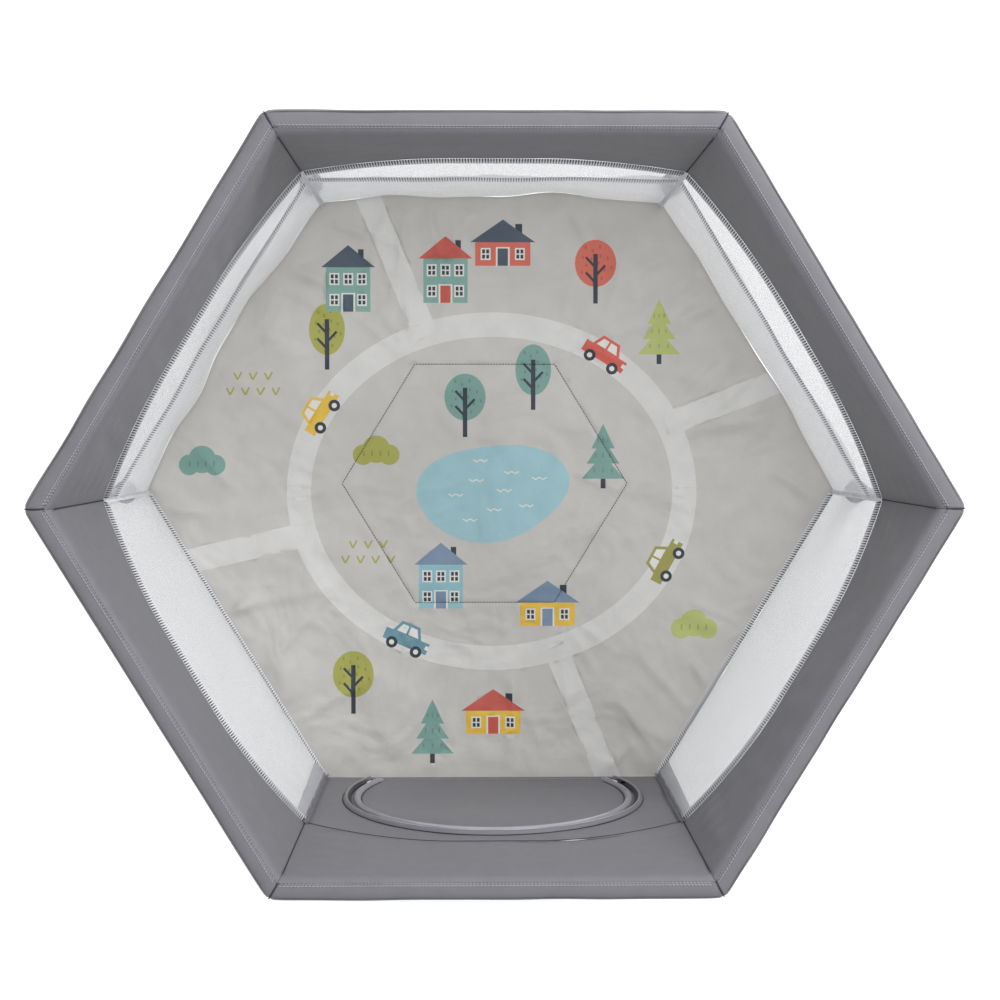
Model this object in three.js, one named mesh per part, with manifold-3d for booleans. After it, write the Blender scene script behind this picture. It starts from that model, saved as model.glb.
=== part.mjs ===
// A six-sided fabric playpen on a plug-together steel frame, in millimetres, +Z up.
// Six rails of equal length plug onto corner joints, and a post with a round foot plugs into each
// joint from below. Padded covers with a hanging band wrap the rails, five mesh walls and one
// solid front wall with a zipped doorway close the sides, and a padded floor lies between them.
// The origin is on the ground at the pen's centre; +X is the long way across, and -Y is the front.
import * as THREE from "three";
import { mergeVertices } from "three/addons/utils/BufferGeometryUtils.js";
import Module from "manifold-3d";

const wasm = await Module();
wasm.setup();

// ---- Driving dimensions ----
const SIDE = 678; // each rail's centreline, from corner to corner
const SLANT = THREE.MathUtils.degToRad(58.6); // between a slanted side and the X axis
const RAIL_HEIGHT = 660; // the rails' centrelines above the ground
const TUBE_RADIUS = 11; // rails and posts are 22 mm steel tube
const TUBE_WALL = 0.8;
const FOAM_RADIUS = 17;
const COVER_RADIUS = 19; // outside of the rail's fabric cover
const CLOTH = 1.6; // thickness of a cover, band or wall
const WALL_LEAN = 15; // how far the walls come in between rail and ground
const BAND_MIDDLE = 480; // height of the band's lower edge halfway along a side
const BAND_CORNER = 355; // and at the corners
const FLOOR_TOP = 9; // top of the padded floor
const FLOOR_BOTTOM = 1.1;
const PATCH_SIDE = 268; // hexagonal grip patch under the middle of the floor
const DOOR_CENTRE = 165; // height of the doorway's centre
const DOOR_RADIUS = 262; // radius of the doorway in the front wall
const DOOR_SILL = 30; // height of the doorway's straight lower edge
const FOOT_RADIUS = 22;
const FIT = 0.3; // gap between pieces that touch
const ROUND = 16; // sides of a round piece

// ---- Derived places ----
const HALF = SIDE / 2;
const LONG_HALF = HALF + SIDE * Math.cos(SLANT);
const DEEP_HALF = SIDE * Math.sin(SLANT);
const TUBE_BORE = TUBE_RADIUS - TUBE_WALL;
const WALL_OUT = COVER_RADIUS + FIT; // from the rail line in to the outer face of a band or wall
const JOINT_REACH = 25; // from the corner point to the end of the rail tube

const CORNERS = [
  { name: "right", x: LONG_HALF, y: 0 },
  { name: "back_right", x: HALF, y: DEEP_HALF },
  { name: "back_left", x: -HALF, y: DEEP_HALF },
  { name: "left", x: -LONG_HALF, y: 0 },
  { name: "front_left", x: -HALF, y: -DEEP_HALF },
  { name: "front_right", x: HALF, y: -DEEP_HALF },
];
const SIDE_NAMES = ["back_right", "back", "back_left", "front_left", "front", "front_right"];
CORNERS.forEach((corner, index) => {
  const before = CORNERS[(index + 5) % 6];
  const after = CORNERS[(index + 1) % 6];
  corner.angle = corner.y === 0 ? 2 * SLANT : Math.PI - SLANT; // inside angle
  corner.outwards = Math.atan2(
    2 * corner.y - before.y - after.y,
    2 * corner.x - before.x - after.x,
  );
});

// ---- Materials ----
const material = (color, roughness, metalness = 0) =>
  new THREE.MeshStandardMaterial({ color, roughness, metalness });
const STEEL = material(0xd8d9db, 0.35, 0.6);
const WHITE_PLASTIC = material(0xd9dadc, 0.45);
const RUBBER = material(0x55565a, 0.85);
const FOAM = material(0xe9e6de, 0.95);
const GREY_CLOTH = material(0x77767b, 0.8);
const MESH_CLOTH = material(0xe6e7ea, 0.9);
const PRINTED_CLOTH = material(0xc4c1bc, 0.8);
const GRIP_CLOTH = material(0x6b6b70, 0.9);
const ZIP_CLOTH = material(0x8e8d92, 0.7);
const ZINC = material(0x3c3c40, 0.35, 0.8);

// ---- Solid helpers ----
function solid(geometry) {
  const bare = geometry.clone();
  bare.deleteAttribute("normal");
  bare.deleteAttribute("uv");
  const merged = mergeVertices(bare, 1e-4);
  return new wasm.Manifold(
    new wasm.Mesh({
      numProp: 3,
      vertProperties: merged.attributes.position.array,
      triVerts: new Uint32Array(merged.index.array),
    }),
  );
}

function geometry(manifold) {
  const mesh = manifold.getMesh();
  const made = new THREE.BufferGeometry();
  made.setAttribute("position", new THREE.BufferAttribute(mesh.vertProperties, 3));
  made.setIndex(new THREE.BufferAttribute(mesh.triVerts, 1));
  return made;
}

function mapped(shape, move) {
  const at = shape.attributes.position;
  const point = new THREE.Vector3();
  for (let i = 0; i < at.count; i += 1) {
    move(point.fromBufferAttribute(at, i));
    at.setXYZ(i, point.x, point.y, point.z);
  }
  return shape;
}

const extruded = (shape, depth) =>
  new THREE.ExtrudeGeometry(shape, { depth, bevelEnabled: false, curveSegments: ROUND / 2 });

// A turned piece: pairs of radius and height, round the Z axis.
const turned = (pairs, sides = ROUND) =>
  new THREE.LatheGeometry(
    pairs.map(([radius, height]) => new THREE.Vector2(radius, height)),
    sides,
  ).rotateX(Math.PI / 2);

const rod = (radius, low, high, sides = ROUND) =>
  turned([[0, low], [radius, low], [radius, high], [0, high]], sides);

const pipe = (radius, bore, low, high) =>
  turned([[bore, low], [radius, low], [radius, high], [bore, high], [bore, low]]);

const alongX = (shape) => shape.rotateY(Math.PI / 2);

function named(name, shape, look) {
  const mesh = new THREE.Mesh(shape, look);
  mesh.name = name;
  return mesh;
}

// ---- One side of the pen, in its own frame: x along the rail, y inwards, z up ----
// Half the length of a strip that lies y inside the rail line and is mitred at a corner.
const halfAt = (corner, y) => HALF - y / Math.tan(corner.angle / 2) - FIT;

function betweenMitres(share, y, side) {
  return share * halfAt(share < 0 ? side.start : side.end, y);
}

// Where a wall stands at a height: it leans inwards from the rail to the ground.
const leanAt = (z) => (WALL_LEAN * (RAIL_HEIGHT - z)) / RAIL_HEIGHT;

// Height of the band's lower edge; share runs from -1 at one corner to 1 at the next.
function bandEdge(share) {
  const flat = 0.35;
  const slope = Math.max(0, (Math.abs(share) - flat) / (1 - flat));
  return BAND_MIDDLE - (BAND_MIDDLE - BAND_CORNER) * slope ** 1.4;
}

const EDGE_SHARES = [-1, -0.9, -0.8, -0.68, -0.55, -0.4, 0, 0.4, 0.55, 0.68, 0.8, 0.9, 1];

// A flat cloth piece of one side, from a list of [share, height], leaning with the wall.
function clothPlate(outline, side) {
  const shape = new THREE.Shape(outline.map(([share, z]) => new THREE.Vector2(share, z)));
  return mapped(extruded(shape, CLOTH), (point) => {
    const z = point.y;
    const y = WALL_OUT + CLOTH - point.z + leanAt(z);
    point.set(betweenMitres(point.x, y, side), y, z);
  });
}

// The rail's sleeve, mitred at the corners and open below for the corner joint's socket.
function railCover(side) {
  const ring = new THREE.Shape().absarc(0, 0, COVER_RADIUS, 0, 2 * Math.PI, false);
  ring.holes.push(new THREE.Path().absarc(0, 0, COVER_RADIUS - CLOTH, 0, 2 * Math.PI, true));
  const sleeve = mapped(
    new THREE.ExtrudeGeometry(ring, { depth: 2, bevelEnabled: false, curveSegments: ROUND + 4 }),
    (point) => {
      const share = point.z - 1;
      point.set(betweenMitres(share, point.x, side), point.x, RAIL_HEIGHT + point.y);
    },
  );
  const room = SOCKET_RADIUS + 0.9;
  const hole = (x) => solid(rod(room, RAIL_HEIGHT - 2 * COVER_RADIUS, RAIL_HEIGHT).translate(x, 0, 0));
  return geometry(solid(sleeve).subtract(hole(-HALF)).subtract(hole(HALF)));
}

// The band that hangs from the sleeve's inner side, down to its arched lower edge.
const bandPlate = (side) =>
  clothPlate(
    [[-1, RAIL_HEIGHT], ...EDGE_SHARES.map((share) => [share, bandEdge(share)]), [1, RAIL_HEIGHT]],
    side,
  );

const WALL_FOOT = FLOOR_TOP + 1;

// A wall from just under the band down to the floor.
const wallPlate = (side) =>
  clothPlate(
    [[-1, WALL_FOOT], [1, WALL_FOOT], ...EDGE_SHARES.toReversed().map(
      (share) => [share, bandEdge(share) - 2 * FIT],
    )],
    side,
  );

// A round-topped prism through the front wall: a disc cut off flat at the sill.
function doorPrism(radius, sill) {
  const low = Math.asin((sill - DOOR_CENTRE) / radius);
  const shape = new THREE.Shape().absarc(0, DOOR_CENTRE, radius, low, Math.PI - low, false);
  const through = 120;
  return new THREE.ExtrudeGeometry(shape, { depth: through, bevelEnabled: false, curveSegments: 20 })
    .rotateX(Math.PI / 2)
    .translate(0, through / 2 + WALL_OUT, 0);
}

// ---- The zip: everything on it is laid out in the plane of the leaning front wall ----
const LEAN_ANGLE = Math.atan(WALL_LEAN / RAIL_HEIGHT);
const FLAP_RADIUS = DOOR_RADIUS - 6.5;
const TAPE_INNER = DOOR_RADIUS - 0.2;
const TAPE_OUTER = DOOR_RADIUS + 9;
const TAPE = 1;
const SLIDER_RADIUS = DOOR_RADIUS + 0.8; // from the doorway's centre to the slider's middle
const ZIP_END = THREE.MathUtils.degToRad(22.5); // how far below level each end of the zip is
const STOP_BEYOND = THREE.MathUtils.degToRad(2.3); // from the end of the travel to the end stop
const OUTER_FACE = FIT + TAPE + FIT; // underside of the slider's outer plate
const INNER_FACE = -(CLOTH + FIT); // and the nearer side of its inner plate
const PULL_LIFT = OUTER_FACE + 4.4; // the pull's pivot above the wall's outer face

// In the zip group x is along the wall, y up the wall and z outwards, from the doorway's centre.
function zipTape() {
  const reach = ZIP_END + STOP_BEYOND + 0.01;
  const shape = new THREE.Shape();
  shape.absarc(0, 0, TAPE_OUTER, -reach, Math.PI + reach, false);
  shape.absarc(0, 0, TAPE_INNER, Math.PI + reach, -reach, true);
  const tape = solid(
    new THREE.ExtrudeGeometry(shape, { depth: TAPE, bevelEnabled: false, curveSegments: 20 })
      .translate(0, 0, FIT),
  );
  const middle = (TAPE_INNER + TAPE_OUTER) / 2;
  const stop = (turn) =>
    solid(
      new THREE.BoxGeometry(6, 3, 3).translate(middle, 0, FIT + TAPE).rotateZ(turn),
    );
  const low = -ZIP_END - STOP_BEYOND;
  const clear = solid(new THREE.BoxGeometry(700, 700, 10).translate(0, 0, FIT - 5));
  return geometry(tape.add(stop(low)).add(stop(Math.PI - low)).subtract(clear));
}

// The slider's own frame: x outwards from the doorway's centre, y along the zip, z off the wall.
function zipSlider() {
  const halfWidth = 4.8;
  const nose = 8;
  const tail = 6;
  const shape = new THREE.Shape();
  shape.moveTo(-halfWidth * 0.6, -tail);
  shape.lineTo(halfWidth * 0.6, -tail);
  shape.lineTo(halfWidth, nose - 3);
  shape.lineTo(halfWidth - 1.5, nose);
  shape.lineTo(-halfWidth + 1.5, nose);
  shape.lineTo(-halfWidth, nose - 3);
  const plate = 3;
  const outer = solid(extruded(shape, plate).translate(0, 0, OUTER_FACE));
  const inner = solid(extruded(shape, plate).translate(0, 0, INNER_FACE - plate));
  const depth = OUTER_FACE - INNER_FACE + 2;
  const web = solid(
    new THREE.BoxGeometry(2.2, 9, depth).translate(-2.9, 0, (OUTER_FACE + INNER_FACE) / 2),
  );
  const bridge = solid(new THREE.BoxGeometry(3.2, 9, 2.6).translate(0, 0, OUTER_FACE + 5));
  const leg = (y) => solid(new THREE.BoxGeometry(3.2, 2, 4).translate(0, y, OUTER_FACE + 4));
  const eye = solid(alongX(rod(1.2, -4, 4, 12)).translate(0, 0, PULL_LIFT));
  return geometry(
    outer.add(inner).add(web).add(leg(3.4)).add(leg(-3.4)).add(bridge).subtract(eye),
  );
}

// The pull hangs from the slider's eye: a thin pin through it, two cheeks and a long tab.
function zipPull() {
  const pin = solid(alongX(rod(0.8, -3.4, 3.4, 12)));
  const cheek = (x) => solid(new THREE.BoxGeometry(1.4, 9.5, 1.6).translate(x, -3.9, 0));
  const tab = new THREE.Shape();
  tab.moveTo(-3.4, -7.6);
  tab.lineTo(-3.4, -26);
  tab.absarc(0, -26, 3.4, Math.PI, 2 * Math.PI, false);
  tab.lineTo(3.4, -7.6);
  const blade = solid(extruded(tab, 1.6).translate(0, 0, -0.8));
  const hole = solid(rod(1.3, -2, 2, 12).translate(0, -25.5, 0));
  return geometry(pin.add(cheek(-2.7)).add(cheek(2.7)).add(blade).subtract(hole));
}

// ---- One corner of the pen, in its own frame: x outwards, z up from the rail's height ----
const SOCKET_BOTTOM = -62;
const SOCKET_TOP = -14;
const SOCKET_RADIUS = 14.5;
function cornerJoint(corner) {
  const hub = solid(
    turned([
      [0, SOCKET_BOTTOM], [SOCKET_RADIUS, SOCKET_BOTTOM], [SOCKET_RADIUS, -16], [14, 6], [9, 13], [0, 13],
    ]),
  );
  const arm = (turn) => {
    const collar = solid(alongX(rod(TUBE_RADIUS, 0, JOINT_REACH - 1)).rotateZ(turn));
    const spigot = solid(alongX(rod(TUBE_BORE - 0.4, 0, JOINT_REACH + 40)).rotateZ(turn));
    return collar.add(spigot);
  };
  const turn = Math.PI - corner.angle / 2;
  const bore = solid(rod(TUBE_RADIUS + FIT, SOCKET_BOTTOM - 1, SOCKET_TOP));
  return geometry(hub.add(arm(turn)).add(arm(-turn)).subtract(bore));
}

const post = () => pipe(TUBE_RADIUS, TUBE_BORE, 10 - RAIL_HEIGHT, SOCKET_TOP - 1);

// The foot and its pad are given from the ground up.
const foot = () =>
  turned([
    [0, 3.3], [FOOT_RADIUS - 1.5, 3.3], [FOOT_RADIUS, 6], [FOOT_RADIUS - 1, 11], [17.5, 20],
    [15.5, 30], [15, 62], [TUBE_RADIUS + FIT, 62], [TUBE_RADIUS + FIT, 9.5], [0, 9.5],
  ]);

const PAD_RADIUS = FOOT_RADIUS - 2.5;
const footPad = () =>
  turned([[0, 0], [PAD_RADIUS - 1.5, 0], [PAD_RADIUS, 1.2], [PAD_RADIUS, 3], [0, 3]]);

// ---- Assembly ----
const playpen = new THREE.Group();

CORNERS.forEach((corner) => {
  const place = new THREE.Group();
  place.position.set(corner.x, corner.y, 0);
  place.rotation.z = corner.outwards;
  const top = new THREE.Group();
  top.position.z = RAIL_HEIGHT;
  top.add(named(`corner_joint_${corner.name}`, cornerJoint(corner), WHITE_PLASTIC));
  top.add(named(`post_${corner.name}`, post(), STEEL));
  place.add(top);
  place.add(named(`foot_${corner.name}`, foot(), WHITE_PLASTIC));
  place.add(named(`foot_pad_${corner.name}`, footPad(), RUBBER));
  playpen.add(place);
});

function zipGroup() {
  const zip = new THREE.Group();
  zip.position.set(0, WALL_OUT + leanAt(DOOR_CENTRE), DOOR_CENTRE);
  zip.rotation.x = Math.PI / 2 + LEAN_ANGLE;
  zip.add(named("zip_tape", zipTape(), ZIP_CLOTH));
  const slide = new THREE.Group();
  slide.rotation.z = -ZIP_END;
  const slider = new THREE.Group();
  slider.position.x = SLIDER_RADIUS;
  slider.add(named("zip_slider", zipSlider(), ZINC));
  const pull = named("zip_pull", zipPull(), ZINC);
  pull.position.z = PULL_LIFT;
  slider.add(pull);
  slide.add(slider);
  zip.add(slide);
  return zip;
}

SIDE_NAMES.forEach((name, index) => {
  const start = CORNERS[index];
  const end = CORNERS[(index + 1) % 6];
  const side = { start, end };
  const place = new THREE.Group();
  place.position.set((start.x + end.x) / 2, (start.y + end.y) / 2, 0);
  place.rotation.z = Math.atan2(end.y - start.y, end.x - start.x);
  const span = HALF - JOINT_REACH;
  const rail = alongX(pipe(TUBE_RADIUS, TUBE_BORE, -span, span)).translate(0, 0, RAIL_HEIGHT);
  const foamSpan = span - 1;
  const foam = alongX(pipe(FOAM_RADIUS, TUBE_RADIUS + FIT, -foamSpan, foamSpan));
  foam.translate(0, 0, RAIL_HEIGHT);
  place.add(named(`top_rail_${name}`, rail, STEEL));
  place.add(named(`rail_foam_${name}`, foam, FOAM));
  place.add(named(`rail_cover_${name}`, railCover(side), GREY_CLOTH));
  place.add(named(`band_${name}`, bandPlate(side), GREY_CLOTH));
  if (name === "front") {
    const wall = solid(wallPlate(side));
    const panel = wall.subtract(solid(doorPrism(DOOR_RADIUS, DOOR_SILL)));
    const flap = wall.intersect(solid(doorPrism(FLAP_RADIUS, DOOR_SILL + 2)));
    place.add(named("front_wall", geometry(panel), GREY_CLOTH));
    place.add(named("door_flap", geometry(flap), GREY_CLOTH));
    place.add(zipGroup());
  } else {
    place.add(named(`mesh_wall_${name}`, wallPlate(side), MESH_CLOTH));
  }
  playpen.add(place);
});

// The pen's hexagon, moved in from the rail lines, as a flat slab between two heights.
function slab(inset, low, high) {
  const outline = CORNERS.map((corner) => {
    const reach = inset / Math.sin(corner.angle / 2);
    return new THREE.Vector2(
      corner.x - reach * Math.cos(corner.outwards),
      corner.y - reach * Math.sin(corner.outwards),
    );
  });
  return extruded(new THREE.Shape(outline), high - low).translate(0, 0, low);
}

const floorInset = WALL_OUT + WALL_LEAN + CLOTH;
playpen.add(named("floor_panel", slab(floorInset, FLOOR_BOTTOM, FLOOR_TOP), PRINTED_CLOTH));

const patch = new THREE.Shape(
  CORNERS.map((corner) => new THREE.Vector2(corner.x, corner.y).multiplyScalar(PATCH_SIDE / SIDE)),
);
playpen.add(named("grip_patch", extruded(patch, FLOOR_BOTTOM - FIT), GRIP_CLOTH));

export default playpen;
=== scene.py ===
"""The looks of the six-sided playpen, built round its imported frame. Metres, +Z up, front at -Y."""

import math

import bpy
import numpy as np
from mathutils import Matrix, Vector
from mathutils.geometry import delaunay_2d_cdt


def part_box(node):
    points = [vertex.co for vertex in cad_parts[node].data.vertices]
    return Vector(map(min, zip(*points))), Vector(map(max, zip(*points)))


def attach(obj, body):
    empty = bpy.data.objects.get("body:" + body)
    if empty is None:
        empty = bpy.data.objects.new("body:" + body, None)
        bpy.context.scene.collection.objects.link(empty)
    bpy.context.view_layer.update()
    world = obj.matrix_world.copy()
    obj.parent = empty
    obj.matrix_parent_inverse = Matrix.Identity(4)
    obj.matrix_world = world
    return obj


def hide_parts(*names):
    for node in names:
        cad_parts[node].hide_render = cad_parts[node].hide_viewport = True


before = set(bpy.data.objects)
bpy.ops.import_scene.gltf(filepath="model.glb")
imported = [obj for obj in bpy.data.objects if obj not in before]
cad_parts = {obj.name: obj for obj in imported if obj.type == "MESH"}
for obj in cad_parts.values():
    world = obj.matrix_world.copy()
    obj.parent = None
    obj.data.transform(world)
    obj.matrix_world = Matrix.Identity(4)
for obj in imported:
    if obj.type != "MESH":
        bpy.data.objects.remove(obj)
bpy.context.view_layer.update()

# ---- Driving sizes ----
COVER = 0.019  # outside radius of a rail's padded cover
CLOTH = 0.0016
WALL_OUT = COVER + 0.0003  # from the rail line in to the walls' outer face
WALL_LEAN = 0.015
MITRE_GAP = 0.0003
BAND_MIDDLE = 0.480
BAND_CORNER = 0.355
FLOOR_TOP = 0.009
DOOR_Z = 0.165
DOOR_RADIUS = 0.262
FLAP_RADIUS = DOOR_RADIUS - 0.0065
DOOR_SILL = 0.030
FLAP_SILL = 0.032
ZIP_END = math.radians(22.5)
SEAM_ANGLE = math.radians(35)  # inwards from the rail's top to the seam of the band
PIPING_ANGLE = math.radians(-47)  # and outwards to the piping
SKIRT = 0.285  # height of the denser white cloth at the foot of the back walls

CORNER_NAMES = ("right", "back_right", "back_left", "left", "front_left", "front_right")
SIDE_NAMES = ("back_right", "back", "back_left", "front_left", "front", "front_right")
BULGE = {"back_left": 0.020, "back": 0.016, "back_right": 0.008}  # of a wall's foot, outwards


def centre(node):
    low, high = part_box(node)
    return (Vector(low) + Vector(high)) / 2


CORNERS = [centre(f"post_{name}").to_2d() for name in CORNER_NAMES]
RAIL_Z = centre("rail_cover_front").z


class Side:
    """One side of the pen: share runs from -1 to 1 along the rail, and y goes inwards from it."""

    def __init__(self, index):
        self.name = SIDE_NAMES[index]
        around = [CORNERS[(index + k) % 6] for k in (-1, 0, 1, 2)]
        before, self.start, self.end, after = around
        self.middle = (self.start + self.end) / 2
        self.along = (self.end - self.start).normalized()
        self.inward = Vector((-self.along.y, self.along.x))
        self.half = (self.end - self.start).length / 2
        self.tan_start = math.tan((before - self.start).angle(self.end - self.start) / 2)
        self.tan_end = math.tan((after - self.end).angle(self.start - self.end) / 2)
        self.bulge = BULGE.get(self.name, 0.0)

    def at(self, share, y, z):
        """Points on this side, as an array, from arrays of share, y and z."""
        share, y, z = np.broadcast_arrays(share, y, z)
        tan = np.where(share > 0, self.tan_end, self.tan_start)
        x = share * (self.half - y / tan - MITRE_GAP)
        flat = [self.middle[k] + self.along[k] * x + self.inward[k] * y for k in (0, 1)]
        return np.stack([flat[0], flat[1], z], axis=-1)

    def wall(self, share, z):
        """How far in from the rail line the wall's cloth hangs."""
        lean = WALL_LEAN * (RAIL_Z - z) / RAIL_Z
        low = np.clip(1 - z / 0.5, 0, 1) ** 2
        droop = 0.35 * np.sin(share * 6 + len(self.name)) + 0.14 * np.sin(share * 13)
        return WALL_OUT + CLOTH / 2 + lean - self.bulge * (1 - share**2) * low * (1 + droop)

    def fade(self, share, width=0.03):
        """Nothing at the side's two ends and 1 away from them, for folds that stop at a corner."""
        return 1 - np.exp(-(((1 - np.abs(share)) * self.half / width) ** 2))


SIDES = [Side(index) for index in range(6)]
FRONT = SIDES[SIDE_NAMES.index("front")]


def band_edge(share):
    slope = np.clip((np.abs(share) - 0.22) / 0.78, 0, 1)
    return BAND_MIDDLE - (BAND_MIDDLE - BAND_CORNER) * slope**1.8


def ripple(x, y, size, seed, count=9):
    """Smooth bumps about one size across, from about -1 to 1 and the same on every run."""
    pick = np.random.RandomState(seed)
    total = 0
    for _ in range(count):
        turn = pick.uniform(0, 2 * math.pi)
        wave = 2 * math.pi / (size * pick.uniform(1.1, 2.6))
        total = total + np.sin(wave * (x * math.cos(turn) + y * math.sin(turn)) + pick.uniform(0, 6.3))
    return total / (0.8 * count**0.5 + 1)


# ---- Materials ----
def linear(r, g, b):
    """A colour given as 0 to 255, as the shader wants it."""
    share = [v / 255 for v in (r, g, b)]
    return [v / 12.92 if v <= 0.04045 else ((v + 0.055) / 1.055) ** 2.4 for v in share] + [1.0]


class Look:
    """A node material with short ways to add and join its nodes."""

    def __init__(self, name):
        self.material = bpy.data.materials.new(name)
        self.material.use_nodes = True
        self.tree = self.material.node_tree
        self.shader = next(n for n in self.tree.nodes if n.type == "BSDF_PRINCIPLED")

    def add(self, kind, **values):
        node = self.tree.nodes.new(f"ShaderNode{kind}")
        for key, value in values.items():
            if hasattr(node, key):
                setattr(node, key, value)
            else:
                node.inputs[key.replace("_", " ")].default_value = value
        return node

    def join(self, output, target):
        self.tree.links.new(output, target)

    def set(self, **values):
        for key, value in values.items():
            self.shader.inputs[key.replace("_", " ")].default_value = value
        return self

    def math(self, operation, a, b):
        node = self.add("Math", operation=operation)
        for socket, value in zip(node.inputs, (a, b)):
            if isinstance(value, (int, float)):
                socket.default_value = value
            else:
                self.join(value, socket)
        return node.outputs[0]

    def noise(self, coords, scale, detail=3.0):
        node = self.add("TexNoise", Scale=scale, Detail=detail)
        self.join(coords, node.inputs["Vector"])
        return node.outputs["Fac"]

    def wave(self, coords, period, direction="X"):
        node = self.add("TexWave", bands_direction=direction, Scale=0.314 / period, Distortion=0.0)
        self.join(coords, node.inputs["Vector"])
        return node.outputs["Fac"]

    def tinted(self, factor, dark, light):
        """Runs the base colour from dark to light as the factor goes from 0.3 to 0.7."""
        ramp = self.add("ValToRGB")
        ramp.color_ramp.elements[0].position = 0.3
        ramp.color_ramp.elements[0].color = dark
        ramp.color_ramp.elements[1].position = 0.7
        ramp.color_ramp.elements[1].color = light
        self.join(factor, ramp.inputs["Fac"])
        return ramp.outputs["Color"]

    def bump(self, height, strength, distance):
        node = self.add("Bump", Strength=strength, Distance=distance)
        self.join(height, node.inputs["Height"])
        self.join(node.outputs["Normal"], self.shader.inputs["Normal"])


def shade(colour, by):
    return [min(1.0, v * by) for v in colour[:3]] + [1.0]


def cloth_look(name, colour, weave=0.0009, spread=0.07, crinkle=0.35, rough=0.62):
    """Woven cloth: threads both ways along its own map, soft crinkles and a little mottling."""
    look = Look(name)
    place = look.add("TexCoord")
    threads = look.math(
        "MULTIPLY",
        look.wave(place.outputs["UV"], weave, "X"),
        look.wave(place.outputs["UV"], weave, "Y"),
    )
    folds = look.noise(place.outputs["Object"], 38.0, 4.0)
    mottle = look.noise(place.outputs["Object"], 130.0, 3.0)
    mixed = look.math("ADD", look.math("MULTIPLY", folds, 0.6), look.math("MULTIPLY", mottle, 0.4))
    tint = look.tinted(mixed, shade(colour, 1 - spread), shade(colour, 1 + spread))
    look.join(tint, look.shader.inputs["Base Color"])
    height = look.math("ADD", look.math("MULTIPLY", threads, 0.10), folds)
    look.bump(height, crinkle, 0.004)
    rougher = look.math("MULTIPLY_ADD", mottle, 0.2)
    rougher.node.inputs[2].default_value = rough - 0.1
    look.join(rougher, look.shader.inputs["Roughness"])
    look.set(Sheen_Weight=0.12, Sheen_Roughness=0.4, Specular_IOR_Level=0.35)
    return look.material


def mesh_look(name, colour, hole, thread):
    """Knitted mesh: rows of small round holes, with a little light passing between them."""
    look = Look(name)
    place = look.add("TexCoord")
    cells = look.add("TexVoronoi", feature="DISTANCE_TO_EDGE", Scale=1 / hole, Randomness=0.25)
    look.join(place.outputs["UV"], cells.inputs["Vector"])
    ramp = look.add("ValToRGB")
    ramp.color_ramp.elements[0].position = thread - 0.06
    ramp.color_ramp.elements[0].color = (0.92, 0.92, 0.92, 1)
    ramp.color_ramp.elements[1].position = thread + 0.06
    ramp.color_ramp.elements[1].color = (0.10, 0.10, 0.10, 1)
    look.join(cells.outputs["Distance"], ramp.inputs["Fac"])
    look.join(ramp.outputs["Color"], look.shader.inputs["Alpha"])
    mottle = look.noise(place.outputs["Object"], 22.0, 4.0)
    tint = look.tinted(mottle, shade(colour, 0.95), colour)
    look.join(tint, look.shader.inputs["Base Color"])
    look.bump(ramp.outputs["Color"], 0.25, 0.0004)
    look.set(Roughness=0.85, Specular_IOR_Level=0.2, Sheen_Weight=0.25, Sheen_Roughness=0.6)
    return look.material


def printed_look(name):
    """The printed floor cloth: its colours are painted on the mesh, over a fine weave, with soft bands of
    painted shade and light from the folds.
    """
    look = Look(name)
    place = look.add("TexCoord")
    painted = look.add("VertexColor", layer_name="print")
    folds = look.noise(place.outputs["Object"], 24.0, 5.0)
    # Painted shade and light: the print darkens by up to 7% in soft bands that follow the fold noise, which
    # also feeds the bump.
    painted_fold_shade = look.tinted(folds, (0.93, 0.93, 0.93, 1), (1.0, 1.0, 1.0, 1))
    mix = look.add("Mix", data_type="RGBA", blend_type="MULTIPLY")
    mix.inputs["Factor"].default_value = 1.0
    look.join(painted.outputs["Color"], mix.inputs["A"])
    look.join(painted_fold_shade, mix.inputs["B"])
    look.join(mix.outputs["Result"], look.shader.inputs["Base Color"])
    threads = look.math(
        "MULTIPLY",
        look.wave(place.outputs["Object"], 0.0008, "X"),
        look.wave(place.outputs["Object"], 0.0008, "Y"),
    )
    crumpled = look.add("TexNoise", Scale=6.0, Detail=2.0, Roughness=0.5, Distortion=0.9)
    look.join(place.outputs["Object"], crumpled.inputs["Vector"])
    height = look.math("ADD", look.math("MULTIPLY", folds, 0.12), crumpled.outputs["Fac"])
    look.bump(look.math("ADD", look.math("MULTIPLY", threads, 0.008), height), 0.5, 0.05)
    look.set(Roughness=0.37, Specular_IOR_Level=0.55, Sheen_Weight=0.1)
    return look.material


def hard_look(name, colour, rough, metal=0.0, grain=900.0, spread=0.04, bump=0.08):
    """Moulded plastic, rubber or coated metal: a fine grain and slightly uneven gloss."""
    look = Look(name)
    place = look.add("TexCoord")
    fine = look.noise(place.outputs["Object"], grain, 2.0)
    wide = look.noise(place.outputs["Object"], 30.0, 3.0)
    tint = look.tinted(wide, shade(colour, 1 - spread), shade(colour, 1 + spread))
    look.join(tint, look.shader.inputs["Base Color"])
    gloss = look.math("MULTIPLY_ADD", wide, 0.15)
    gloss.node.inputs[2].default_value = rough - 0.07
    look.join(gloss, look.shader.inputs["Roughness"])
    look.bump(fine, bump, 0.0005)
    look.set(Metallic=metal)
    return look.material


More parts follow.
